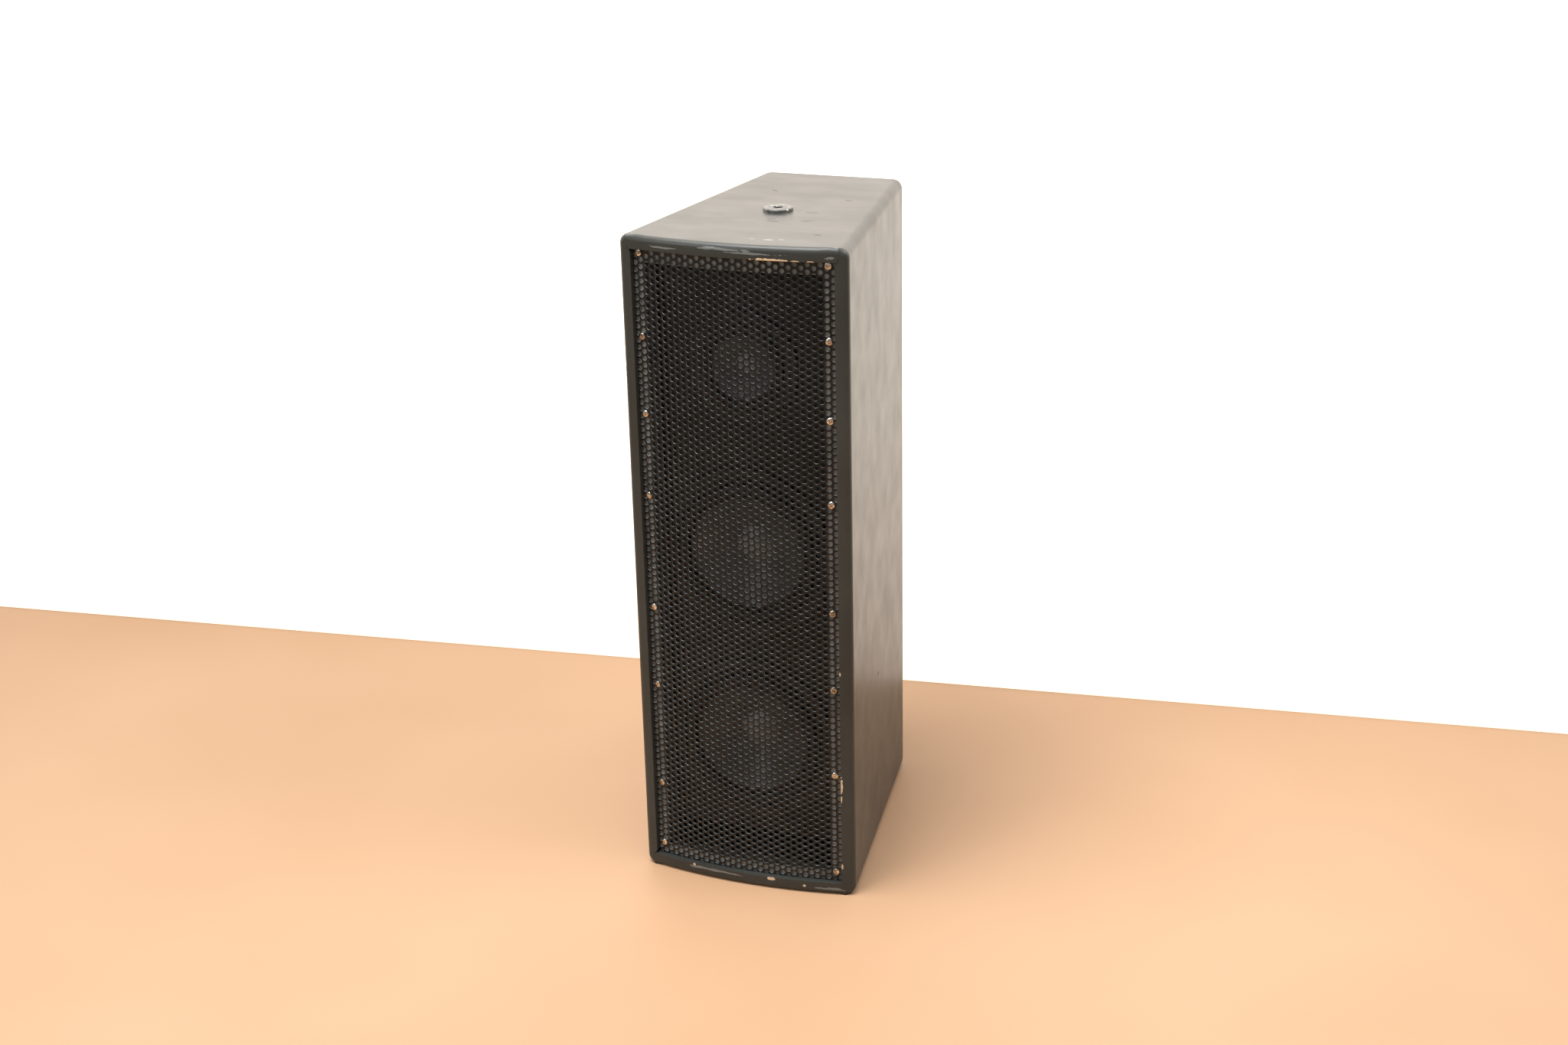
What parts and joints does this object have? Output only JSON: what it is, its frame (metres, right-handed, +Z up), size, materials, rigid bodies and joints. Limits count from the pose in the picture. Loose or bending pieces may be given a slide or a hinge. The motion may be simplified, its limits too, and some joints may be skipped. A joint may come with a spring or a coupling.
{
  "type": "pa speaker",
  "caption": "Narrow trapezoidal column loudspeaker with bowed perforated grille, bass drivers, small treble driver, slot port, rigging inserts and locking sockets.",
  "frame": {"origin": "middle of the base, on the surface it stands on", "axes": "+Z up, -Y out of the grille towards the listener, +X to the right seen from the front"},
  "size_m": [0.208, 0.2846, 0.619],
  "materials": {
    "cabinet_paint": "textured satin black paint over birch plywood",
    "black_board": "flat black paint over plywood",
    "raw_board": "bare birch plywood",
    "foam": "open-cell damping foam",
    "grille_paint": "satin black powder coat on perforated steel",
    "worn_brass": "worn coppery brass screw heads",
    "insert_metal": "zinc-plated steel, dulled",
    "plate_paint": "black powder coat",
    "screw_steel": "black oxide",
    "socket_plastic": "moulded black plastic",
    "contact_metal": "plated contacts",
    "circuit_board": "green circuit board",
    "copper_wire": "enamelled copper winding",
    "capacitor_film": "film capacitor wrap",
    "resistor_ceramic": "white ceramic",
    "frame_paint": "black paint on pressed steel",
    "surround_rubber": "black rubber",
    "gasket_paper": "pressed gasket",
    "cone_paper": "coated black paper pulp",
    "cap_paper": "coated dust cap",
    "spider_cloth": "varnished cloth",
    "motor_steel": "zinc-plated steel",
    "magnet_ferrite": "ferrite"
  },
  "bodies": {
    "cabinet": {"back_insert": "insert_metal", "back_panel": "cabinet_paint", "baffle": "black_board", "bottom_insert": "insert_metal", "bottom_panel": "cabinet_paint", "brace": "raw_board", "capacitors": "capacitor_film", "cross_battens": "black_board", "crossover_board": "circuit_board", "crossover_screws": "screw_steel", "crossover_standoffs": "socket_plastic", "damping_foam": "foam", "divider": "raw_board", "grille": "grille_paint", "grille_screws": "worn_brass", "inductors": "copper_wire", "input_plate": "plate_paint", "input_plate_screws": "screw_steel", "input_socket": "socket_plastic", "left_side": "cabinet_paint", "link_socket": "socket_plastic", "lower_woofer_frame": "frame_paint", "lower_woofer_gasket": "gasket_paper", "lower_woofer_magnet": "magnet_ferrite", "lower_woofer_spider": "spider_cloth", "lower_woofer_surround": "surround_rubber", "lower_woofer_top_plate": "motor_steel", "lower_woofer_yoke": "motor_steel", "port_shelf": "raw_board", "resistor": "resistor_ceramic", "right_side": "cabinet_paint", "side_battens": "black_board", "socket_contacts": "contact_metal", "socket_screws": "screw_steel", "top_insert": "insert_metal", "top_panel": "cabinet_paint", "treble_frame": "frame_paint", "treble_magnet": "magnet_ferrite", "treble_screws": "screw_steel", "treble_spider": "spider_cloth", "treble_surround": "surround_rubber", "treble_top_plate": "motor_steel", "treble_yoke": "motor_steel", "upper_woofer_frame": "frame_paint", "upper_woofer_gasket": "gasket_paper", "upper_woofer_magnet": "magnet_ferrite", "upper_woofer_spider": "spider_cloth", "upper_woofer_surround": "surround_rubber", "upper_woofer_top_plate": "motor_steel", "upper_woofer_yoke": "motor_steel", "woofer_screws": "screw_steel"},
    "lower_woofer_diaphragm": {"lower_woofer_cone": "cone_paper", "lower_woofer_dust_cap": "cap_paper", "lower_woofer_voice_coil": "copper_wire"},
    "upper_woofer_diaphragm": {"upper_woofer_cone": "cone_paper", "upper_woofer_dust_cap": "cap_paper", "upper_woofer_voice_coil": "copper_wire"},
    "treble_diaphragm": {"treble_cone": "cone_paper", "treble_dust_cap": "cap_paper", "treble_voice_coil": "copper_wire"}
  },
  "joints": [
    {"name": "lower_woofer_travel", "type": "slide", "parent": "cabinet", "child": "lower_woofer_diaphragm", "axis": [0, -1, 0], "range_m": [-0.005, 0.005], "stiffness_N_per_m": 1500, "deforming": ["lower_woofer_surround", "lower_woofer_spider"]},
    {"name": "upper_woofer_travel", "type": "slide", "parent": "cabinet", "child": "upper_woofer_diaphragm", "axis": [0, -1, 0], "range_m": [-0.005, 0.005], "stiffness_N_per_m": 1500, "deforming": ["upper_woofer_surround", "upper_woofer_spider"]},
    {"name": "treble_travel", "type": "slide", "parent": "cabinet", "child": "treble_diaphragm", "axis": [0, -1, 0], "range_m": [-0.0015, 0.0015], "stiffness_N_per_m": 900, "deforming": ["treble_surround", "treble_spider"]}
  ]
}
